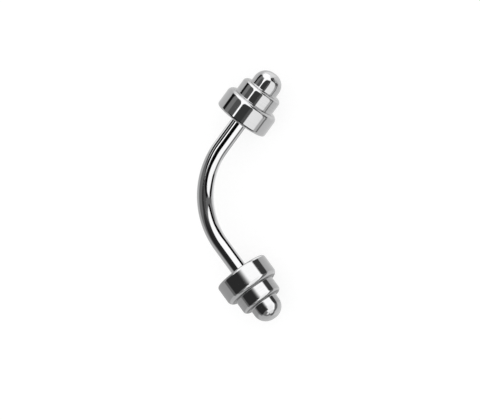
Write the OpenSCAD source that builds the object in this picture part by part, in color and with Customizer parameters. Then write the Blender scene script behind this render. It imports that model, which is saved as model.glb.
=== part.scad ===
// Curved eyebrow barbell, lying on its side
// A bent steel bar with a turned, three-step bead screwed on each end.
// X points to the hollow side of the bend, Y runs from bead to bead and Z is up.
// The origin is on the surface, under the middle of the whole outline.

/* [Bar] */
// Diameter of the bar, which is 16 gauge
bar_d = 1.2; // [1.0:0.1:1.4]
// Radius of the bend, to the middle of the bar
bend_r = 5.7; // [4.5:0.1:8]
// Angle that the bar turns through from its middle to each straight leg, in degrees
half_bend = 37; // [20:1:45]
// Straight length from the end of the bend to the face of the bead
leg_len = 2.3; // [1.5:0.1:4]

/* [Bead] */
// Diameter of the wide step next to the bar
base_d = 4.0; // [3.6:0.1:4.4]
// Height of the wide step
base_h = 1.65; // [1.4:0.05:1.9]
// Diameter of the middle step
mid_d = 3.05; // [2.7:0.05:3.3]
// Height of the middle step
mid_h = 1.1; // [0.9:0.05:1.4]
// Diameter of the domed step
tip_d = 2.1; // [1.8:0.05:2.2]
// Height of the domed step
tip_h = 1.35; // [1.15:0.05:1.7]
// Diameter of the small flat on top of the dome
tip_flat_d = 0.2; // [0.1:0.05:0.5]
// Rounding of the outer rim of the two lower steps
rim_r = 0.28; // [0.1:0.02:0.32]
// Rounding of the rim that faces the bar
face_r = 0.12; // [0.05:0.01:0.3]

/* [Screw] */
// Length of the threaded post on each end of the bar
post_len = 2.0; // [1.5:0.1:2.2]
// Mean diameter of the thread on the post
post_d = 1.1; // [0.9:0.05:1.3]
// Gap between post and hole, on the radius
post_clearance = 0.03; // [0.02:0.01:0.06]
// Room left between the post's end and the bottom of the hole
hole_spare = 0.2; // [0.1:0.05:0.3]
// Gap between the shoulder of the bar and the bead
bead_gap = 0.02; // [0.01:0.01:0.05]

/* [Hidden] */
$fn = 96;

steel = [0.76, 0.76, 0.77];

// The hole in the bead, its drill point and its countersunk mouth
hole_d = post_d + 2 * post_clearance;
hole_len = post_len + hole_spare;
drill_point = 118;
drill_h = hole_d / 2 / tan(drill_point / 2);
mouth_d = max(bar_d, hole_d) + 0.1;
mouth_h = (mouth_d - hole_d) / 2;
post_chamfer = 0.12;
cut_margin = 0.1;

// How far past its middle the half bar is made before it is cut, and the size of the cut
cut_angle = 2;
half_space = 2 * (bend_r + leg_len + post_len);

// Where the bar meets the bead's face along X, with the middle of the bar's bend at zero
face_x = bend_r * (1 - cos(half_bend)) + leg_len * sin(half_bend);

// How far past its face the bead reaches towards +X, one value for each step
function reach(d, top, rim) =
    (top - rim) * sin(half_bend) + (d / 2 - rim) * cos(half_bend) + rim;
dome_r = (tip_d - tip_flat_d) / 2;
bead_reach = max(
    reach(base_d, base_h, rim_r),
    reach(mid_d, base_h + mid_h, rim_r),
    reach(tip_d, base_h + mid_h + tip_h, dome_r)
);

// The outline's middle along X, and the height of the bar's middle above the surface
middle_x = (face_x + bead_reach - bar_d / 2) / 2;
rest_z = base_d / 2;

// Half section of one turned step, with its top rim rounded
module step_profile(d, h, rim) {
    r = d / 2;
    intersection() {
        square([r, h]);
        union() {
            square([r - rim, h]);
            square([r, h - rim]);
            translate([r - rim, h - rim]) circle(rim);
        }
    }
}

// The wide step is rounded towards the bar as well
module base_profile() {
    intersection() {
        step_profile(base_d, base_h, rim_r);
        translate([0, base_h]) mirror([0, 1]) step_profile(base_d, base_h, face_r);
    }
}

// Blind hole for the post, open at its countersunk mouth
module screw_hole() {
    translate([0, 0, -cut_margin]) cylinder(d = hole_d, h = hole_len + cut_margin);
    translate([0, 0, hole_len]) cylinder(d1 = hole_d, d2 = 0, h = drill_h);
    cylinder(d1 = mouth_d, d2 = hole_d, h = mouth_h);
    translate([0, 0, -cut_margin]) cylinder(d = mouth_d, h = cut_margin);
}

// One bead along +Z, with its face at zero
module stepped_bead() {
    difference() {
        rotate_extrude() {
            base_profile();
            translate([0, base_h]) step_profile(mid_d, mid_h, rim_r);
            translate([0, base_h + mid_h]) step_profile(tip_d, tip_h, dome_r);
        }
        screw_hole();
    }
}

// Threaded end of the bar as a plain post with a chamfered tip
module post() {
    translate([0, 0, -bead_gap]) cylinder(d = post_d, h = post_len - post_chamfer + bead_gap);
    translate([0, 0, post_len - post_chamfer])
        cylinder(d1 = post_d, d2 = post_d - 2 * post_chamfer, h = post_chamfer);
}

// Straight leg of the bar and its post, along +Z, with the bead's face at zero
module leg() {
    translate([0, 0, -leg_len]) cylinder(d = bar_d, h = leg_len - bead_gap);
    post();
}

// Children's zero is the middle of the bend, and +X points to the bend's upper end
module about_bend() {
    translate([bend_r, 0, 0]) rotate([0, 0, 180 - half_bend]) children();
}

// Children stand on the upper leg's end, with +Z along the leg, in the frame above
module on_leg() {
    translate([bend_r, 0, 0]) rotate([90, 0, 0]) translate([0, 0, leg_len]) children();
}

// Upper half of the bar, cut square at the middle so that the mirrored halves join
module upper_half() {
    intersection() {
        about_bend() {
            rotate_extrude(angle = half_bend + cut_angle) translate([bend_r, 0]) circle(d = bar_d);
            on_leg() leg();
        }
        translate([-half_space, 0, -half_space]) cube(2 * half_space);
    }
}

// Everything lies at the height of the wide steps' radius, centred along X
module laid_down() {
    translate([-middle_x, 0, rest_z]) children();
}

module bar() {
    color(steel) laid_down() {
        upper_half();
        mirror([0, 1, 0]) upper_half();
    }
}

module upper_bead() {
    color(steel) laid_down() about_bend() on_leg() stepped_bead();
}

module lower_bead() {
    color(steel) laid_down() mirror([0, 1, 0]) about_bend() on_leg() stepped_bead();
}

bar();
upper_bead();
lower_bead();
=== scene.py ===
# %% [markdown]
# # A curved barbell in polished steel
#
# The object is a curved bar of 1.2 mm steel wire with a turned bead screwed on each end.
# It is 17.6 mm long and weighs about 0.6 gram. Every part of it is mirror polished, so
# nearly all that an eye sees of it is the room around it, bent by its curves.
#
# That sets the order of the work. The shapes come first, because a mirror shows every flat
# facet, then the polish, then the light that the steel is to reflect, and the camera last.
# The first cell loads the solid model. It gives the places and the limits, and it is never
# changed here.

# %% Load the solid model
import math

import bpy
import numpy as np
from mathutils import Matrix, Vector


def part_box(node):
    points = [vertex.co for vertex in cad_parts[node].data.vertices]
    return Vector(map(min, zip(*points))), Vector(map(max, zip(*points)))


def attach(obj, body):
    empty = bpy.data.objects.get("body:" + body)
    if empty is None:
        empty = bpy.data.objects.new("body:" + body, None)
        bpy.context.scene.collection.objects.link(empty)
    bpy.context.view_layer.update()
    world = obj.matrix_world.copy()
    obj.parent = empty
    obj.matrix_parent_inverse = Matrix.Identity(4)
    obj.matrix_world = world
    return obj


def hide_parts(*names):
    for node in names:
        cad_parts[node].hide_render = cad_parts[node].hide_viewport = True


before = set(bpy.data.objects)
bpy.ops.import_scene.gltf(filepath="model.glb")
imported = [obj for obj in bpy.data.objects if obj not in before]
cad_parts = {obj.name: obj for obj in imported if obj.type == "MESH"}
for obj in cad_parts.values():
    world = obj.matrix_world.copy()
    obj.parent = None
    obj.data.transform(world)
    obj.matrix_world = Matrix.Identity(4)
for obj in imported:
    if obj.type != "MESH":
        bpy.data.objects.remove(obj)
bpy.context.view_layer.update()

MM = 0.001

# %% [markdown]
# ## The sizes
#
# A maker works from a short list of sizes, and so does this file. These are the sizes of the
# solid model, in millimetres. The skins below could be copied from the solid's own mesh, but
# that mesh is cut into flats, and on a mirror each flat would show. New skins from the same
# numbers are as smooth as the light needs, and they lie where the solids lie.
#
# Only the rims differ. Long polishing wears a rim rounder than it was turned, and a rounder
# rim gathers a wider line of light, so the three rims here are a little softer than the
# solid's.

# %% Sizes in millimetres
bar_d = 1.2
bend_r = 5.7
half_bend = math.radians(37)
leg_len = 2.3
base_d, base_h = 4.0, 1.65
mid_d, mid_h = 3.05, 1.1
tip_d, tip_h = 2.1, 1.35
tip_flat_d = 0.2
base_rim_r = 0.4
mid_rim_r = 0.3
face_r = 0.2
post_len = 2.0
post_chamfer = 0.12
hole_d = 1.16
hole_len = 2.2
mouth_d = 1.3
bead_gap = 0.02
rest_z = base_d / 2

bend_len = bend_r * half_bend
face_s = bend_len + leg_len
back_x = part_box("bar")[0].x / MM + bar_d / 2
print("length of bar between the beads, along its bend:", round(2 * face_s, 3), "mm")
print("middle of the bar at the back of the bend: x", round(back_x, 4), "mm")

# %% [markdown]
# ## An outline with rounded corners
#
# Bar and beads are all turned work: an outline spun round a line. A turner never leaves a
# truly sharp corner, and polishing rounds it further, and those tiny rounds catch the
# brightest and the darkest lines on the whole piece.
#
# A bevel modifier could round the corners of a spun mesh, but it would only guess at the
# direction that the surface faces. Here each corner is given with its radius, and the outline
# is worked out as true lines and arcs. Each point is kept with the exact direction in which
# the surface faces there, so a mirror made from it has no ripples.

# %% Work out an outline
ARC_STEP = math.radians(5)


def rounded_outline(corners):
    """Rows of (along, out, faces_along, faces_out) from corners of (along, out, radius)."""
    points = [np.array(c[:2], float) for c in corners]
    rows = []
    for i, corner in enumerate(points):
        back = corner - points[i - 1] if i else None
        ahead = points[i + 1] - corner if i + 1 < len(points) else None
        into = back / np.linalg.norm(back) if i else None
        out = ahead / np.linalg.norm(ahead) if ahead is not None else None
        if into is None or out is None:
            heading = out if into is None else into
            rows.append((*corner, -heading[1], heading[0]))
            continue
        turn = math.atan2(into[0] * out[1] - into[1] * out[0], into @ out)
        reach = corners[i][2] * math.tan(abs(turn) / 2)
        steps = max(2, math.ceil(abs(turn) / ARC_STEP))
        start = corner - reach * into
        side = math.copysign(1, turn)
        centre = start + side * corners[i][2] * np.array([-into[1], into[0]])
        for k in range(steps + 1):
            a = turn * k / steps
            heading = np.array([
                into[0] * math.cos(a) - into[1] * math.sin(a),
                into[0] * math.sin(a) + into[1] * math.cos(a),
            ])
            faces = np.array([-heading[1], heading[0]])
            rows.append((*(centre - side * corners[i][2] * faces), *faces))
    return rows


square_corner = rounded_outline([(0, 0, 0), (1, 0, mid_rim_r), (1, 1, 0)])
print("a square corner of radius", mid_rim_r, "becomes", len(square_corner), "rows")

# %% [markdown]
# ## Rings and faces
#
# A spun skin is a stack of rings with faces between them. Two small helpers serve every skin.
# One adds rings where the work needs them closer together, as a thread does. The other lists
# the faces between neighbouring rings, and the balls of cards further down use it too.

# %% Helpers for rings
ROUND_STEPS = 144


def fill_in(rows, start, end, step):
    """The same rows with more of them between two places along the work."""
    made = [rows[0]]
    for before, after in zip(rows, rows[1:]):
        low, high = sorted((before[0], after[0]))
        parts = math.ceil((high - low) / step) if high > start and low < end else 1
        parts = max(parts, 1)
        whole = np.array(after) - np.array(before)
        for k in range(1, parts + 1):
            made.append(tuple(np.array(before) + whole * k / parts))
    return made


def ring_faces(rings, steps):
    """Four-sided faces between neighbouring rings, as point numbers."""
    ring, step = np.meshgrid(np.arange(rings - 1), np.arange(steps), indexing="ij")
    beside = (step + 1) % steps
    return np.stack([
        ring * steps + step,
        ring * steps + beside,
        (ring + 1) * steps + beside,
        (ring + 1) * steps + step,
    ], -1).reshape(-1, 4).tolist()


print("faces between two rings:", len(ring_faces(2, ROUND_STEPS)))

# %% [markdown]
# ## Spin the outline
#
# The same step makes all three pieces. A bead is spun round a straight line, and the bar is
# spun round a line that bends, so the step asks where the middle line runs at each row.
#
# Each point gets its place and its exact facing, which Blender then uses for the reflections.
# Where a thread is cut the outline's facing no longer holds, and it is worked out again from
# the points around it. Each point also keeps the place that it would have if the piece were
# straight. The polish needs that one later, because polishing lines follow the work and not
# the world.

# %% Places and facings of the rings
def spun_rings(rows, middle_line, thread):
    """Places, facings and straightened places, each as (ring, step, xyz)."""
    along, out, faces_along, faces_out = np.array(rows, float).T
    angle = np.linspace(0, 2 * math.pi, ROUND_STEPS, endpoint=False)
    place, ahead, first, second = middle_line(along)
    spoke = first[:, None] * np.cos(angle)[:, None] + second[:, None] * np.sin(angle)[:, None]
    radius = out[:, None] + thread(along[:, None], angle[None, :], out[:, None])
    places = place[:, None] + radius[..., None] * spoke
    facings = faces_along[:, None, None] * ahead[:, None] + faces_out[:, None, None] * spoke
    threaded = np.ptp(radius, axis=1) > 1e-6
    turning = np.roll(places, -1, 1) - np.roll(places, 1, 1)
    rising = np.gradient(places, axis=0)
    slope = np.cross(turning, rising)
    length = np.linalg.norm(slope, axis=2, keepdims=True)
    facings[threaded] = (slope / np.maximum(length, 1e-12))[threaded]
    straight = np.stack([
        radius * np.cos(angle),
        radius * np.sin(angle),
        np.repeat(along[:, None], ROUND_STEPS, 1),
    ], -1)
    return places, facings, straight


print("steps round each ring:", ROUND_STEPS)

# %% [markdown]
# ## Close the skin
#
# The rings alone are a tube, open at both ends. One more point at each end, on the middle line,
# closes it with a fan of thin triangles. A closed skin has an inside and an outside, and that
# is what makes it a solid piece rather than a sheet of foil.

# %% Make a closed skin
def spun_skin(name, rows, middle_line, thread):
    """A closed mesh object from outline rows, spun round middle_line(along)."""
    places, facings, straight = spun_rings(rows[1:-1], middle_line, thread)
    ends = np.array([rows[0][0], rows[-1][0]], float)
    end_places, end_ahead, _, _ = middle_line(ends)
    end_facings = end_ahead * np.array([[rows[0][2]], [rows[-1][2]]])
    end_straight = np.stack([0 * ends, 0 * ends, ends], -1)
    rings = len(rows) - 2
    last_ring = (rings - 1) * ROUND_STEPS
    first_end = rings * ROUND_STEPS
    fans = [[first_end, (j + 1) % ROUND_STEPS, j] for j in range(ROUND_STEPS)]
    for j in range(ROUND_STEPS):
        fans.append([first_end + 1, last_ring + j, last_ring + (j + 1) % ROUND_STEPS])
    points = np.concatenate([places.reshape(-1, 3), end_places])
    mesh = bpy.data.meshes.new(name)
    mesh.from_pydata((points * MM).tolist(), [], ring_faces(rings, ROUND_STEPS) + fans)
    mesh.shade_smooth()
    all_facings = np.concatenate([facings.reshape(-1, 3), end_facings])
    mesh.normals_split_custom_set_from_vertices(all_facings.tolist())
    all_straight = np.concatenate([straight.reshape(-1, 3), end_straight])
    kept = mesh.attributes.new("straightened", "FLOAT_VECTOR", "POINT")
    kept.data.foreach_set("vector", all_straight.astype(np.float32).ravel())
    piece = bpy.data.objects.new(name, mesh)
    bpy.context.scene.collection.objects.link(piece)
    print(name, "has", len(mesh.vertices), "points and", len(mesh.polygons), "faces")
    return piece


# %% [markdown]
# ## The screw thread
#
# A 1.2 mm screw of the usual kind rises 0.25 mm with each turn. The thread is hidden
# while the beads are on, and it shows as soon as one is taken off. A picture of a thread made
# with bump alone would have a smooth edge, so the thread is cut in the mesh: the radius of
# each point goes up and down with how far it is along the screw and how far round it is.
#
# The crests on the bar stay just inside the hole of the bead, and the thread in the bead is
# cut outwards from that hole. Here a bead slides off without turning, and so nothing scrapes.

# %% Cut a thread
thread_rise = 0.25
crest_r = 0.565
thread_fade = 0.12
thread_row = thread_rise / 12
flat_root = 0.12
flank_share = 0.72


def ridge(along, angle):
    """0 at the bottom of the thread and 1 on its crest."""
    turn = (along / thread_rise - angle / (2 * math.pi)) % 1
    return np.clip((1 - np.abs(2 * turn - 1) - flat_root) / flank_share, 0, 1)


def fade_between(along, start, end):
    """1 between two places along the work, with a short fade at both."""
    risen = np.clip((along - start) / thread_fade, 0, 1)
    fallen = np.clip((end - along) / thread_fade, 0, 1)
    return np.minimum(risen, fallen)


print("turns of thread on each end:", round(post_len / thread_rise, 1))

# %% [markdown]
# ## The bead
#
# Each bead is one piece of steel with three round steps: a wide one against the bar, a middle
# one, and a small one that ends in a dome with a tiny flat left by the polishing. The step
# near the bar has a soft rim on both sides, and where one step stands on another there is a
# very small fillet.
#
# The outline starts at the bottom of the blind hole, comes out through the countersunk mouth,
# crosses the face, climbs the three steps and ends at the middle of the dome. One closed line
# makes one watertight skin.

# %% Outline of a bead
foot_r = 0.1
edge_r = 0.03
inner_r = 0.05
drill_half_angle = math.radians(59)
dome_r = (tip_d - tip_flat_d) / 2
mid_top = base_h + mid_h
tip_top = mid_top + tip_h
mouth_h = (mouth_d - hole_d) / 2
drill_point = hole_len + hole_d / 2 / math.tan(drill_half_angle)

bead_corners = [
    (drill_point, 0, 0),
    (hole_len, hole_d / 2, inner_r),
    (mouth_h, hole_d / 2, edge_r),
    (0, mouth_d / 2, edge_r),
    (0, base_d / 2, face_r),
    (base_h, base_d / 2, base_rim_r),
    (base_h, mid_d / 2, inner_r),
    (mid_top, mid_d / 2, mid_rim_r),
    (mid_top, tip_d / 2, foot_r),
    (tip_top, tip_d / 2, dome_r),
    (tip_top, 0, 0),
]
bead_rows = rounded_outline(bead_corners)
print("a bead has", len(bead_rows), "rows and is", round(tip_top, 2), "mm high")

# %% [markdown]
# ## The thread in the hole
#
# The rows down the hole have to stand close together to carry a thread, and the rest of the
# bead doesn't need that. The outside of the bead passes the same places along the axis, so
# the thread is cut only where the outline is no farther out than the hole.

# %% Cut the hole's thread
bead_thread_depth = 0.07
thread_stop = 0.1
hole_slack = 0.001

mouth_row = next(i for i, row in enumerate(bead_rows) if row[1] > hole_d / 2 + hole_slack)
hole_rows = fill_in(bead_rows[:mouth_row], mouth_h, hole_len, thread_row)
bead_rows = hole_rows + bead_rows[mouth_row:]


def bead_thread(along, angle, out):
    """The thread in the hole, cut outwards."""
    in_hole = out < hole_d / 2 + hole_slack
    part = fade_between(along, mouth_h, hole_len - thread_stop)
    return bead_thread_depth * ridge(along, angle) * part * in_hole


print("rows down the hole:", len(hole_rows))

# %% [markdown]
# ## The bar
#
# The bar is a wire bent round a former through 37 degrees to each side, with a straight leg at
# both ends. Each leg stops at a square shoulder, and the thinner threaded post goes on into the
# bead. It could be a curve with a round bevel, but a curve can't carry the thread and the
# shoulder, so it is spun as the beads are, round a line that bends.

# %% Middle line of the bar
def bent_line(along):
    """Place, direction and two square directions of the bar's middle line."""
    turned = np.clip(np.abs(along), 0, bend_len) / bend_r * np.sign(along)
    past = np.maximum(np.abs(along) - bend_len, 0) * np.sign(along)
    nothing = 0 * along
    ahead = np.stack([np.sin(turned), np.cos(turned), nothing], -1)
    place = np.stack([
        back_x + bend_r * (1 - np.cos(turned)),
        bend_r * np.sin(turned),
        rest_z + nothing,
    ], -1) + past[:, None] * ahead
    down = np.tile([0.0, 0.0, -1.0], (len(along), 1))
    return place, ahead, down, np.cross(ahead, down)


print("the bend turns through", round(2 * math.degrees(half_bend)), "degrees in all")

# %% [markdown]
# ## Outline of the bar
#
# Half of the outline is written down and mirrored, because both ends are alike. Past each
# shoulder comes the post with its thread, which is cut inwards from the crest and fades out at
# both ends. Rows are added along the bend, so that it bends smoothly, and along both posts.

# %% Outline of the bar
shoulder_edge_r = 0.04
shoulder_foot_r = 0.005
post_edge_r = 0.03
post_thread_depth = 0.09
bend_row = 0.08
past_shoulder = 0.01
shoulder_s = face_s - bead_gap
post_top = face_s + post_len
half_bar = [
    (shoulder_s, bar_d / 2, shoulder_edge_r),
    (shoulder_s, crest_r, shoulder_foot_r),
    (post_top - post_chamfer, crest_r, post_edge_r),
    (post_top, crest_r - post_chamfer, post_edge_r),
    (post_top, 0, 0),
]
bar_corners = [(-s, r, corner) for s, r, corner in reversed(half_bar)] + half_bar
bar_rows = rounded_outline(bar_corners)
mid_leg = bend_len + leg_len / 2
bar_rows = fill_in(bar_rows, -mid_leg, mid_leg, bend_row)
bar_rows = fill_in(bar_rows, shoulder_s + past_shoulder, post_top, thread_row)
bar_rows = fill_in(bar_rows, -post_top, -shoulder_s - past_shoulder, thread_row)


def bar_thread(along, angle, _):
    """The thread on both posts, cut inwards from the crest."""
    part = fade_between(np.abs(along), shoulder_s, post_top - post_chamfer)
    return -post_thread_depth * (1 - ridge(along, angle)) * part


print("the bar has", len(bar_rows), "rows")

# %% [markdown]
# ## Put the pieces together
#
# The bar is spun round its bent line. A bead is spun round the straight line that goes on from
# the bar's end, with its zero where the leg meets its face, so that both come out in place.
# Each skin rides on the body of the solid that it stands for, so that it moves when that bead
# is taken off, and the solid itself is hidden.

# %% Make the three pieces
def line_past_the_end(side):
    """The straight middle line of a bead, and the direction in which it points."""
    start, ahead, down, _ = (v[0] for v in bent_line(np.array([side * face_s])))
    away = side * ahead
    across = np.cross(away, down)

    def straight_line(along):
        directions = [np.tile(d, (len(along), 1)) for d in (away, down, across)]
        return start + along[:, None] * away, *directions

    return straight_line, away


bar = spun_skin("polished_bar", bar_rows, bent_line, bar_thread)
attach(bar, "bar")
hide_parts("bar")

beads = {}
points_along = {}
for end, side in (("upper", 1), ("lower", -1)):
    bead_line, points_along[end] = line_past_the_end(side)
    beads[end] = spun_skin(f"polished_{end}_bead", bead_rows, bead_line, bead_thread)
    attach(beads[end], f"{end}_bead")
    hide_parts(f"{end}_bead")
    print(end, "bead points along", np.round(points_along[end], 4))

# %% [markdown]
# ## Painted shade in the inner corners
#
# Where one step stands on another, the steel's colour is darkened in a hair-wide line. This is
# painted shade for the crease, and it is what sets the steps apart to the eye. A number kept on
# each point of the skin follows the corner exactly: highest in the corner, and 0 within a tenth
# of a millimetre of it. The lower bead gets the darker painted shade.

# %% Mark the painted shade in the inner corners of a bead
corner_above = 0.05
corner_full = 1.6
wall_slack = 0.01
# How far the painted corner shade reaches on each bead, and how strong it is.
corner_reach = {"upper": 0.06, "lower": 0.09}
corner_shade_strength = {"upper": 0.3, "lower": 1.0}


def mark_painted_corner_shade(bead, reach, strength):
    """Keeps on each point the painted shade near an inner corner, from 0 to the strength."""
    place = np.empty(len(bead.data.vertices) * 3, np.float32)
    bead.data.attributes["straightened"].data.foreach_get("vector", place)
    x, y, along = place.reshape(-1, 3).T
    near = np.zeros(len(along))
    for step_top, wall_d in ((base_h, mid_d), (mid_top, tip_d)):
        below = np.clip(corner_full * (1 - (step_top - along) / reach), 0, 1)
        above = np.clip(1 - (along - step_top) / corner_above, 0, 1)
        near += np.minimum(below, above) * (np.hypot(x, y) > wall_d / 2 - wall_slack)
    kept = bead.data.attributes.new("painted_crease_shade", "FLOAT", "POINT")
    kept.data.foreach_set("value", (strength * near).astype(np.float32))
    return int((near > 0).sum())


for end, bead in beads.items():
    marked = mark_painted_corner_shade(bead, corner_reach[end], corner_shade_strength[end])
    print("points near an inner corner of the", end, "bead:", marked)

# %% [markdown]
# ## The polish
#
# Surgical steel is a cool, almost neutral grey, and it sends back about two thirds of the
# light. A perfect mirror would look like computer work. Real polish has three faults that an
# eye knows: very fine lines left by the polishing wheel, a slow waviness that bends the
# reflections a little, and patches that are a trace duller than the rest.
#
# All three come from noise, so this step has the few shader parts that they share: a node made
# in one line, noise over a given place, noise spread between two numbers, and a bump. A bump is
# enough here, because the faults are far thinner than a hair.

# %% Parts for the shader
noise_low = 0.3
noise_high = 0.7


def node(tree, kind, **settings):
    """A new shader node with its plain settings made."""
    made = tree.nodes.new(kind)
    for key, value in settings.items():
        setattr(made, key, value)
    return made


def noise(tree, vector, scale, detail):
    """Noise over a given place, from 0 to 1."""
    made = node(tree, "ShaderNodeTexNoise")
    made.inputs["Scale"].default_value = scale
    made.inputs["Detail"].default_value = detail
    tree.links.new(vector, made.inputs["Vector"])
    return made.outputs["Fac"]


def spread(tree, value, low, high):
    """A value from noise, spread between two numbers."""
    made = node(tree, "ShaderNodeMapRange")
    made.inputs["From Min"].default_value = noise_low
    made.inputs["From Max"].default_value = noise_high
    made.inputs["To Min"].default_value = low
    made.inputs["To Max"].default_value = high
    tree.links.new(value, made.inputs["Value"])
    return made.outputs["Result"]


def bump(tree, height, distance, before=None):
    """A bump of this height in metres, on top of another one."""
    made = node(tree, "ShaderNodeBump")
    made.inputs["Strength"].default_value = 1.0
    made.inputs["Distance"].default_value = distance
    tree.links.new(height, made.inputs["Height"])
    if before is not None:
        tree.links.new(before, made.inputs["Normal"])
    return made.outputs["Normal"]


print("noise from", noise_low, "to", noise_high, "counts as its full spread")

# %% [markdown]
# ## Which way the lines run
#
# The lines run around a bead, because it spins on the lathe, and along the bar, because wire
# is drawn and then rubbed lengthwise. Noise has no direction of its own. It gets one from the
# place that it is asked about: where many places are made alike, the noise is alike there too,
# and it draws out into lines. Both ways start from the straightened place that a skin keeps.

# %% Direction of the lines
lengthwise_squeeze = 0.03


def lines_around(tree, place):
    """Places that are alike all round a turned piece: distance out and distance along."""
    flat = node(tree, "ShaderNodeVectorMath", operation="MULTIPLY")
    flat.inputs[1].default_value = (1, 1, 0)
    tree.links.new(place, flat.inputs[0])
    out = node(tree, "ShaderNodeVectorMath", operation="LENGTH")
    tree.links.new(flat.outputs["Vector"], out.inputs[0])
    parts = node(tree, "ShaderNodeSeparateXYZ")
    tree.links.new(place, parts.inputs[0])
    made = node(tree, "ShaderNodeCombineXYZ")
    tree.links.new(out.outputs["Value"], made.inputs["X"])
    tree.links.new(parts.outputs["Z"], made.inputs["Y"])
    return made.outputs["Vector"]


def lines_lengthwise(tree, place):
    """Places that change slowly along the bar and fast across it."""
    made = node(tree, "ShaderNodeVectorMath", operation="MULTIPLY")
    made.inputs[1].default_value = (1, 1, lengthwise_squeeze)
    tree.links.new(place, made.inputs[0])
    return made.outputs["Vector"]


print("along the bar the noise is drawn out", round(1 / lengthwise_squeeze), "times")

# %% [markdown]
# ## The steel itself
#
# One function makes both steels. They differ a little in tone, in the way and the fineness of
# their lines, and in how dull their patches are. The tone swings a trace with the fine lines, the
# roughness with the patches, and the two bumps lie on top of one another. Where the number kept
# for painted crease shade reaches 1, the tone drops to a quarter: painted shade in the inner corners.

# %% Polished steel
# Painted shade: the steel's tone in the inner corners, as a share of its plain tone.
corner_shade_tone = 0.25
line_tone = 0.94
line_detail = 2
line_height = 0.04e-6
wave_scale = 0.7
wave_detail = 1
wave_height = 0.8e-6
patch_scale = 1.6
patch_detail = 3


def polished_steel(name, tone, lines, line_scale, dull):
    """Mirror-polished steel with its fine lines, waviness, dull patches and painted corner shade."""
    steel = bpy.data.materials.new(name)
    steel.use_nodes = True
    tree = steel.node_tree
    shader = tree.nodes["Principled BSDF"]
    shader.inputs["Metallic"].default_value = 1.0
    place = node(tree, "ShaderNodeAttribute", attribute_name="straightened").outputs["Vector"]
    fine = noise(tree, lines(tree, place), line_scale, line_detail)
    slow = noise(tree, place, wave_scale, wave_detail)
    patches = noise(tree, place, patch_scale, patch_detail)
    tint = node(tree, "ShaderNodeMix", data_type="RGBA")
    tint.inputs["A"].default_value = (*[c * line_tone for c in tone], 1)
    tint.inputs["B"].default_value = (*tone, 1)
    tree.links.new(spread(tree, fine, 0, 1), tint.inputs["Factor"])
    # Painted shade in the inner corners darkens the base colour.
    corner = node(tree, "ShaderNodeAttribute", attribute_name="painted_crease_shade")
    painted_crease = node(tree, "ShaderNodeMix", data_type="RGBA")
    painted_crease.inputs["B"].default_value = (*[c * corner_shade_tone for c in tone], 1)
    tree.links.new(corner.outputs["Fac"], painted_crease.inputs["Factor"])
    tree.links.new(tint.outputs["Result"], painted_crease.inputs["A"])
    tree.links.new(painted_crease.outputs["Result"], shader.inputs["Base Color"])
    tree.links.new(spread(tree, patches, *dull), shader.inputs["Roughness"])
    wavy = bump(tree, slow, wave_height)
    tree.links.new(bump(tree, fine, line_height, wavy), shader.inputs["Normal"])
    return steel


bead_steel = polished_steel(
    "turned_steel", tone=(0.68, 0.68, 0.685),
    lines=lines_around, line_scale=14, dull=(0.045, 0.08),
)
bar_steel = polished_steel(
    "drawn_steel", tone=(0.66, 0.66, 0.665),
    lines=lines_lengthwise, line_scale=9, dull=(0.03, 0.06),
)
bar.data.materials.append(bar_steel)
for bead in beads.values():
    bead.data.materials.append(bead_steel)
print("materials:", [m.name for m in bpy.data.materials])

# %% [markdown]
# ## The floor and the soft light
#
# Small jewellery is often laid on a sheet of white acrylic with light coming through it, so
# that hardly any shadow is left. The floor here is such a sheet: pale, matt, and glowing a
# little. The light on it comes evenly from a white room, which is the softest there is.
#
# The steel is kept from seeing this room. What it sees is set up piece by piece further down.

# %% Floor and room
floor_half = 3.0
sheet_tone = 0.25
sheet_glow = 0.79
mesh = bpy.data.meshes.new("floor")
corners = [(-floor_half, -floor_half, 0), (floor_half, -floor_half, 0)]
corners += [(floor_half, floor_half, 0), (-floor_half, floor_half, 0)]
mesh.from_pydata(corners, [], [(0, 1, 2, 3)])
floor = bpy.data.objects.new("floor", mesh)
bpy.context.scene.collection.objects.link(floor)
floor.visible_glossy = False

acrylic = bpy.data.materials.new("lit_acrylic")
acrylic.use_nodes = True
sheet = acrylic.node_tree.nodes["Principled BSDF"]
sheet.inputs["Base Color"].default_value = (sheet_tone, sheet_tone, sheet_tone, 1)
sheet.inputs["Roughness"].default_value = 0.9
sheet.inputs["Specular IOR Level"].default_value = 0.0
sheet.inputs["Emission Color"].default_value = (1, 1, 1, 1)
sheet.inputs["Emission Strength"].default_value = sheet_glow
floor.data.materials.append(acrylic)

room = bpy.data.worlds.new("white_room")
bpy.context.scene.world = room
room.use_nodes = True
room.cycles.sampling_method = "NONE"
tree = room.node_tree
white = tree.nodes["Background"]
white.inputs["Color"].default_value = (1, 1, 1, 1)
black = node(tree, "ShaderNodeBackground")
black.inputs["Color"].default_value = (0, 0, 0, 1)
path = node(tree, "ShaderNodeLightPath")
either = node(tree, "ShaderNodeMixShader")
tree.links.new(path.outputs["Is Glossy Ray"], either.inputs["Fac"])
tree.links.new(white.outputs["Background"], either.inputs[1])
tree.links.new(black.outputs["Background"], either.inputs[2])
tree.links.new(either.outputs["Shader"], tree.nodes["World Output"].inputs["Surface"])

bpy.context.scene.view_settings.view_transform = "Standard"
print("the floor is", 2 * floor_half, "m wide, and the room is plain white")

# %% [markdown]
# ## What the steel sees
#
# A photographer of polished metal lights the room round it rather than the metal: white cards
# for the bright shapes, black cards for the dark ones, moved until each part reads well. The
# two beads and the bar are lit by cards of their own here, which a real table would do in
# three exposures.
#
# The cards stand on the inside of a large ball round one piece. A place on the ball is given
# by two angles: how far around the piece's axis it is, from straight up, and how far along the
# axis it leans. Each card is a row in a table, with its name, the tone that it should have in
# the steel, the softness of its edge, and its corners. A later card stands in front of the
# earlier ones. Two tones in place of one run across the card from its left to its right.

# %% Tones from a table of cards
bare_ball_tone = 0.62


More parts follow.
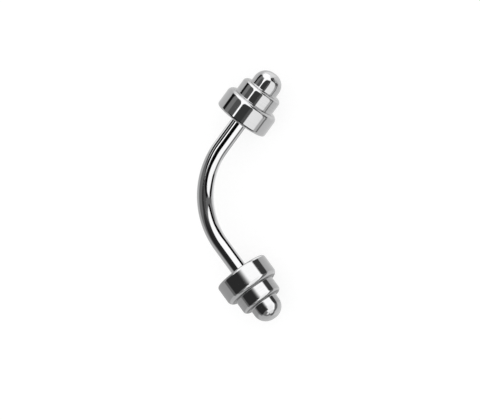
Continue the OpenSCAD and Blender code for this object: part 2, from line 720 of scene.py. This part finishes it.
def card_cover(corners, around, along, soft):
    """How much of each place a card covers. Its corners go round it anticlockwise."""
    cover = np.ones(around.shape)
    for (a0, b0), (a1, b1) in zip(corners, corners[1:] + corners[:1]):
        inside = (a1 - a0) * (along - b0) - (b1 - b0) * (around - a0)
        inside = inside / math.hypot(a1 - a0, b1 - b0)
        cover = np.minimum(cover, np.clip(inside / soft + 0.5, 0, 1))
    return cover * cover * (3 - 2 * cover)


def paint(cards, around, along):
    """Tones of the whole ball, from 0 to 1 as they show in the steel."""
    tone = np.full(around.shape, bare_ball_tone)
    for _, level, soft, *corners in cards:
        if isinstance(level, tuple):
            left = min(c[0] for c in corners)
            right = max(c[0] for c in corners)
            across = np.clip((around - left) / (right - left), 0, 1)
            level = level[0] + (level[1] - level[0]) * across
        tone = tone + (level - tone) * card_cover(corners, around, along, soft)
    return tone


print("where no card stands, the tone is", bare_ball_tone)

# %% [markdown]
# ## Light from the cards
#
# The ball could carry a lamp for each card, but a lamp makes noise and spills on the floor.
# Here the ball itself glows, with the tone kept on its points. The glow is let through as well,
# so that a reflection of one piece in another isn't blocked.
#
# A tone is how light a place looks on a screen, and screens squeeze bright light together. The
# curve that undoes this is a fixed one, and the steel swallows a third of the light, so the
# cards are made brighter by as much.

# %% Glow of the cards
steel_sends_back = 0.66
screen_lift = 0.055
screen_power = 2.4


def light_of(tone):
    """Glow of a card that shows in the steel with this tone."""
    on_screen = (tone + screen_lift) / (1 + screen_lift)
    return on_screen ** screen_power / steel_sends_back


card_glow = bpy.data.materials.new("card_glow")
card_glow.use_nodes = True
card_glow.cycles.emission_sampling = "NONE"
tree = card_glow.node_tree
tree.nodes.clear()
glow_tone = node(tree, "ShaderNodeAttribute", attribute_name="glow")
glow_light = node(tree, "ShaderNodeEmission")
clear = node(tree, "ShaderNodeBsdfTransparent")
glow_sum = node(tree, "ShaderNodeAddShader")
glow_end = node(tree, "ShaderNodeOutputMaterial")
tree.links.new(glow_tone.outputs["Color"], glow_light.inputs["Color"])
tree.links.new(glow_light.outputs["Emission"], glow_sum.inputs[0])
tree.links.new(clear.outputs["BSDF"], glow_sum.inputs[1])
tree.links.new(glow_sum.outputs["Shader"], glow_end.inputs["Surface"])
print("a white card glows with", round(light_of(1.0), 2))

# %% [markdown]
# ## The ball of cards
#
# A metre is very large beside a piece of 18 mm, so the cards are as good as at the far side of
# a room, and a small move of the piece doesn't change what it sees. The ball lights one piece
# and nothing else, and no camera, shadow or floor knows that it is there.

# %% Make a ball of cards
ball_radius = 1.0
card_step = 1.0


def ball_of_cards(name, piece, axis, tones_at):
    """A glowing ball that only this piece sees, and only in its reflections."""
    around_deg = np.arange(-180, 180, card_step)
    along_deg = np.linspace(-90, 90, int(180 / card_step) + 1)
    around, along = np.meshgrid(around_deg, along_deg)
    axis = np.array(axis, float)
    up = np.array([0.0, 0.0, 1.0])
    side = np.cross(axis, up)
    a, b = np.radians(around)[..., None], np.radians(along)[..., None]
    points = np.cos(b) * (np.cos(a) * up + np.sin(a) * side) + np.sin(b) * axis
    tone = tones_at(points, around, along)
    flat = np.repeat(light_of(tone).ravel()[:, None], 4, 1)
    flat[:, 3] = 1
    mesh = bpy.data.meshes.new(name)
    places = (points.reshape(-1, 3) * ball_radius).tolist()
    mesh.from_pydata(places, [], ring_faces(*around.shape))
    colour = mesh.attributes.new("glow", "FLOAT_COLOR", "POINT")
    colour.data.foreach_set("color", flat.astype(np.float32).ravel())
    ball = bpy.data.objects.new(name, mesh)
    bpy.context.scene.collection.objects.link(ball)
    ball.visible_camera = False
    ball.visible_diffuse = False
    ball.visible_transmission = False
    ball.visible_volume_scatter = False
    ball.visible_shadow = False
    ball.data.materials.append(card_glow)
    seen_by = bpy.data.collections.new(f"sees_{name}")
    seen_by.objects.link(piece)
    ball.light_linking.receiver_collection = seen_by
    print(name, "tones go from", round(tone.min(), 2), "to", round(tone.max(), 2))


print("the balls have a radius of", ball_radius, "m")

# %% [markdown]
# ## Cards for the upper bead
#
# This bead shows three dark walls with one thin white strip down them, a broad light side to
# the right, and white rims, because a large white card stands past its tip. Under the level of
# the bead the cards are the table, which is a soft grey.
#
# A dome squeezes half the room into a few lines, so the cards past the tip are small. They draw
# the dark line that parts the light side from the table.

# %% Cards for the upper bead
upper_cards = [
    ("table, left", (0.76, 0.66), 3, (-190, -95), (-89, -95), (-89, 95), (-190, 95)),
    ("table, right", (0.68, 0.75), 3, (92, -95), (190, -95), (190, 95), (92, 95)),
    ("room above", 0.45, 3, (-89, -95), (92, -95), (92, 95), (-89, 95)),
    ("light over the table, left", 0.84, 12, (-190, 38), (-90, 32), (-90, 95), (-190, 95)),
    ("light behind the piece, right", 0.76, 12, (140, 20), (190, 20), (190, 95), (130, 95)),
    ("white past the tip", 1.0, 7,
        (-112, 48), (-88, 36), (-60, 33), (-20, 41), (20, 56), (6, 95), (-112, 95)),
    ("grey past the tip, right", 0.66, 8, (22, 48), (130, 48), (120, 95), (10, 95)),
    ("cap at the tip", 0.82, 10, (-190, 78), (190, 78), (190, 95), (-190, 95)),
    ("light side", (0.89, 0.86), 12, (10, -60), (82, -60), (82, -12), (95, 30), (102, 58), (10, 58)),
    ("grey beside the light side", 0.66, 5, (82, -20), (95, -20), (102, 28), (90, 28)),
    ("edge of the light side", 0.38, 5, (91.5, -20), (98, -20), (105.5, 28), (98, 28)),
    ("blot past the light side", 0.28, 8, (97, 32), (108, 26), (122, 38), (112, 50), (98, 50)),
    ("shade past the light side", 0.42, 6, (56, 60), (84, 56), (100, 62), (100, 78), (56, 78)),
    ("line past the light side, front", 0.0, 5, (-4, 76), (34, 61), (60, 57), (64, 67), (44, 78), (-4, 86)),
    ("line past the light side, middle", 0.28, 5, (56, 59), (80, 48), (88, 56), (62, 68)),
    ("line past the light side, back", 0.30, 5, (78, 49), (95, 34), (105, 40), (86, 57)),
    ("line round the tip, right", 0.28, 5, (30, 76), (120, 74), (150, 78), (150, 90), (30, 90)),
    ("grey card", 0.44, 4, (-78, -20), (-50, -20), (-50, 24), (-70, 32), (-76, 32)),
    ("dark grey card", 0.30, 4, (-53, -20), (-27, -20), (-29, 8), (-36, 18), (-53, 28)),
    ("corner of the border", 0.22, 6, (-100, 26), (-90, 10), (-82, 10), (-82, 30)),
    ("black border", 0.06, 5, (-87, -20), (-75, -20), (-73, 10), (-78, 29), (-92, 29)),
    ("dark behind the camera", 0.20, 3,
        (-24, -20), (26, -20), (28, 54), (8, 48), (-8, 39), (-18, 25), (-22, 8)),
    ("dark behind the camera, right", 0.30, 5, (14, -20), (26, -20), (28, 34), (15, 34)),
    ("gap of white", 1.05, 3, (-23.5, -20), (-20.5, -20), (-18, 24), (-33, 24)),
    ("gap of white, towards the tip", 1.0, 4, (-33, 22), (-18, 22), (-15, 50), (-52, 50)),
    ("dark line towards the bar", 0.10, 4, (-48, -52), (88, -52), (88, -13), (-48, -13)),
    ("light towards the bar, left", 0.72, 6, (-92, -70), (-48, -70), (-48, -45), (-92, -45)),
    ("dark end at the bar", 0.28, 8, (-92, -95), (80, -95), (80, -60), (-92, -60)),
]


def upper_tones(_, around, along):
    """Tones of the upper bead's ball."""
    return paint(upper_cards, around, along)


ball_of_cards("upper_cards", beads["upper"], points_along["upper"], upper_tones)

# %% [markdown]
# ## Cards for the lower bead
#
# The lower bead is turned the other way, so the same walls look at the other side of the room.
# Its front is broad and white with a black block to the left of it, and a narrow dark wedge on
# the right. Past the tip the white fades, and a grey card to each side closes it in.

# %% Cards for the lower bead
lower_cards = [
    ("table, left", (0.75, 0.62), 6, (-190, -95), (-106, -95), (-106, 95), (-190, 95)),
    ("table, right", (0.55, 0.61), 10, (67, -95), (190, -95), (190, 95), (67, 95)),
    ("table past the tip, left", (0.76, 0.70), 10, (-190, 10), (-106, 10), (-106, 95), (-190, 95)),
    ("table past the tip, right", (0.64, 0.72), 10, (67, 10), (190, 10), (190, 95), (67, 95)),
    ("room above", 0.60, 6, (-108, -95), (71, -95), (71, 95), (-108, 95)),
    ("black block", 0.16, 5, (-30, -18), (24, -32), (66, -32), (65, 28), (59, 38), (22, 39), (-30, 30)),
    ("edge of the block", 0.37, 6, (63, -20), (74, -20), (78, 30), (66, 30)),
    ("grey past the tip, right", 0.42, 7, (6, 30), (62, 32), (76, 60), (76, 84), (14, 84)),
    ("white front", 1.0, 5, (-74, -20), (-32, -20), (-32, 58), (-88, 58), (-82, 34)),
    ("white front, right", 0.98, 30, (-70, -60), (-7, -60), (-7, -8), (-12, 40), (-70, 40)),
    ("white front, to the tip", 0.93, 18, (-60, 12), (-14, 12), (14, 44), (10, 64), (-60, 64)),
    ("corner of the block", 0.22, 6, (-8, 20), (10, 20), (10, 34), (-8, 34)),
    ("grey past the tip, left", 0.40, 8, (-108, 6), (-84, 6), (-75, 44), (-73, 72), (-106, 72), (-113, 44)),
    ("white fading to the tip", 0.84, 10, (-68, 58), (14, 58), (12, 84), (-66, 84)),
    ("line of light over the block", 0.85, 5, (0, 54), (48, 54), (44, 66), (0, 66)),
    ("shade behind the tip", 0.40, 6, (100, 76), (260, 76), (260, 95), (100, 95)),
    ("shade behind the tip, left", 0.40, 6, (-260, 76), (-100, 76), (-100, 95), (-260, 95)),
    ("line round the tip, left", 0.36, 6, (-140, 74), (-74, 70), (-74, 90), (-140, 90)),
    ("cap at the tip", 0.34, 5, (-190, 81), (190, 81), (190, 95), (-190, 95)),
    ("dark wedge", 0.21, 6, (-108, -20), (-75, -20), (-75, 4), (-85, 18), (-102, 18)),
    ("white towards the bar", 0.97, 4, (-80, -95), (4, -95), (4, -14), (-80, -14)),
    ("light towards the bar, middle", 0.80, 4, (4, -95), (26, -95), (26, -18), (4, -18)),
    ("light towards the bar, left", 0.90, 5, (-150, -60), (-86, -60), (-86, -15), (-150, -15)),
    ("grey towards the bar", 0.44, 5, (26, -60), (74, -60), (74, -30), (26, -30)),
]


def lower_tones(_, around, along):
    """Tones of the lower bead's ball."""
    return paint(lower_cards, around, along)


ball_of_cards("lower_cards", beads["lower"], points_along["lower"], lower_tones)

# %% [markdown]
# ## Cards for the bar
#
# Along a wire every card becomes a stripe. The bar shows a broad white stripe on its hollow
# side, pinched shut at the middle of the bend, with black beside it and greys at the back.
#
# These cards are placed as a photographer does it, by where they show in the metal. A stripe
# has two edges at each of a few stations along the bend, and an edge is an angle around the
# bar: 0 is its top line and 90 its hollow side. The mirror law then says where on the ball the
# card has to stand: halfway between the camera and the card is the way that the metal faces.

# %% Cards for the bar
bar_stripes = [
    ("dark along the back", 0.40, 9, [
        (-90, -32, 4), (-37, -32, 4), (-28, -33, 10), (-10, -34, 20),
        (0, -33, 30), (10, -34, 18), (22, -34, 17), (90, -36, 16),
    ]),
    ("dark, lower leg", 0.14, 9, [
        (-90, -28, 10), (-34, -26, 9), (-28, -24, 9), (-20, -20, 8), (-12, -12, 0),
    ]),
    ("dark along the top", 0.19, 8, [
        (-24, -10, 6), (-10, -10, 3), (0, -10, 3), (6, -10, 2), (16, -9, 0), (20, -8, -2),
    ]),
    ("dark before the pinch", 0.30, 5, [(-10, 4, 14), (-4, 3, 20), (0, 3, 26), (6, 3, 18), (12, 3, 8)]),
    ("neck of the two whites", 0.39, 6, [(-12, 24, 44), (-7, 14, 56), (-3, 18, 58), (2, 30, 42)]),
    ("black line, far back", 0.0, 3, [
        (24, -29, -25), (30, -35, -27), (34, -38.5, -27), (37, -41, -28.5), (90, -41, -28.5),
    ]),
    ("bright edge, far back", 0.92, 4, [(30, -47, -47), (37, -56, -44), (90, -56, -44)]),
    ("grey, far back", 0.70, 3, [(24, -24, -24), (30, -26, -18), (37, -28.5, -22), (90, -28.5, -22)]),
    ("black, back", 0.0, 3, [
        (17, -11, -11), (22, -17, -7), (28, -19, -8), (34, -21, -10), (37, -22, -11), (90, -22, -11),
    ]),
    ("black at the top", 0.0, 3, [
        (-2, 24, 24), (0, 17, 28), (3, 12, 23), (6, 7, 20), (10, 5.5, 18),
        (16, 2, 17), (22, 0, 18), (28, -1.5, 20), (34, -4.5, 19), (90, -5, 18.5),
    ]),
    ("thin white", 1.15, 3, [
        (19, -4, -4), (22, -5.5, -2), (28, -7.5, -1.5), (34, -10.5, -4.5), (37, -11, -5), (90, -11, -5),
    ]),
    ("white, upper", 1.0, 3, [
        (-2, 38, 38), (0, 34, 42), (3, 25, 42.5), (6, 22.6, 45.5), (10, 19.5, 47),
        (16, 18.2, 47), (22, 18.3, 49), (28, 20.9, 49), (34, 19.2, 48), (37, 18.8, 47), (90, 18.8, 47),
    ]),
    ("white, lower", 1.0, 3, [
        (-90, 8, 44.3), (-37, 8, 44.3), (-34, 8.3, 42.3), (-31, 9.2, 40.5), (-28, 10.2, 39),
        (-22, 11.7, 36), (-16, 15.2, 35.4), (-10, 24, 33.5), (-7.5, 29, 29),
    ]),
    ("line, upper bend", 0.12, 4, [
        (-2, 46, 52), (0, 44, 58), (3, 43.5, 60), (6, 46, 62), (10, 47, 62), (16, 47, 61), (19, 49, 58),
    ]),
    ("line, upper leg", 0.42, 4, [(17, 49, 58), (22, 49, 61), (37, 47, 59), (90, 47, 59)]),
    ("grey near the hollow edge", 0.60, 4, [(28, 76, 78), (34, 70, 84), (90, 71, 85)]),
    ("grey past the lower line", 0.50, 6, [(-20, 49, 56), (-16, 48, 62), (-10, 46, 62), (-6, 46, 60)]),
    ("line, lower", 0.0, 3, [
        (-90, 44.3, 61), (-37, 44.3, 61), (-34, 42.3, 59.6), (-31, 40.5, 58.6), (-28, 39, 58),
        (-22, 36, 51), (-16, 35.4, 49), (-10, 34, 47), (-7, 32, 40), (-5.5, 36, 36),
    ]),
]


print("stripes on the bar:", len(bar_stripes))

# %% [markdown]
# ## From stripes to the ball
#
# Behind the stripes the bar is a middle grey that gets lighter towards both of its edges. A
# stripe covers what lies between its two edges, and it closes softly where they meet.
#
# The way from the metal to the camera is written as a constant, because the cards stay where
# they are when the camera moves. For each place on the ball the halfway direction gives the
# angle around the bar and the angle along the bend, and the stripe there gives the tone.

# %% Tones from the stripes
turn_to_tips = math.radians(13.75)
camera_back = np.array([math.sin(turn_to_tips), 0, math.cos(turn_to_tips)])
middle_tone = 0.65
edge_gain = 0.25
edge_starts = 50
edge_width = 35


def soft_band(value, low, high, soft):
    """1 between two edges and 0 outside them, with soft edges."""
    rise = np.clip((value - low) / soft + 0.5, 0, 1)
    fall = np.clip((high - value) / soft + 0.5, 0, 1)
    both = np.minimum(rise, fall)
    return both * both * (3 - 2 * both)


def paint_stripes(round_bar, bend):
    """Tones by angle around the bar and angle along the bend."""
    towards_edge = np.clip((np.abs(round_bar) - edge_starts) / edge_width, 0, 1)
    tone = middle_tone + edge_gain * towards_edge
    for _, level, soft, stations in bar_stripes:
        turn, low, high = np.array(stations, float).T
        edge_low = np.interp(bend, turn, low)
        edge_high = np.interp(bend, turn, high)
        there = (bend >= turn[0]) & (bend <= turn[-1])
        wide = np.clip((edge_high - edge_low) / soft, 0, 1)
        cover = soft_band(round_bar, edge_low, edge_high, soft) * wide * there
        tone = tone + (level - tone) * cover
    return tone


def bar_tones(points, *_):
    """Tone of each place on the ball, from the stripe that shows it on the bar."""
    facing = points + camera_back
    facing /= np.maximum(np.linalg.norm(facing, axis=-1, keepdims=True), 1e-9)
    x, y, z = facing[..., 0], facing[..., 1], facing[..., 2]
    bend = np.degrees(np.arctan2(-y * np.sign(x), np.abs(x)))
    round_bar = np.degrees(np.arctan2(np.sign(x) * np.hypot(x, y), z))
    return paint_stripes(round_bar, bend)


ball_of_cards("bar_cards", bar, (0, 1, 0), bar_tones)

# %% [markdown]
# ## The camera
#
# The camera looks down on the piece from well above, a little to the side of its tips. A long
# lens from half a metre away keeps the bar and beads from looking swollen, which is what a
# close lens does to small things.

# %% Camera
camera_distance = 0.5
field_width = 33.684 * MM
sensor_width = 36
aim = Vector((-0.0682, -0.9944, 1.4223)) * MM

back = Vector(camera_back)
right = Vector((0, 1, 0)).cross(back).normalized()
above = back.cross(right)
lens = bpy.data.cameras.new("camera")
lens.sensor_width = sensor_width
lens.lens = sensor_width * camera_distance / field_width
lens.clip_start = 0.05
lens.clip_end = 10
camera = bpy.data.objects.new("camera", lens)
bpy.context.scene.collection.objects.link(camera)
turned = Matrix((right, above, back)).transposed().to_4x4()
camera.matrix_world = Matrix.Translation(aim + back * camera_distance) @ turned
bpy.context.scene.camera = camera
print("lens", round(lens.lens), "mm, looking down at", round(math.degrees(math.asin(back.z)), 1), "degrees")

# %% [markdown]
# ## Finish
#
# The skins should fill the same box as the solids. The last step brings the scene up to date.

# %% Finish
bpy.context.view_layer.update()
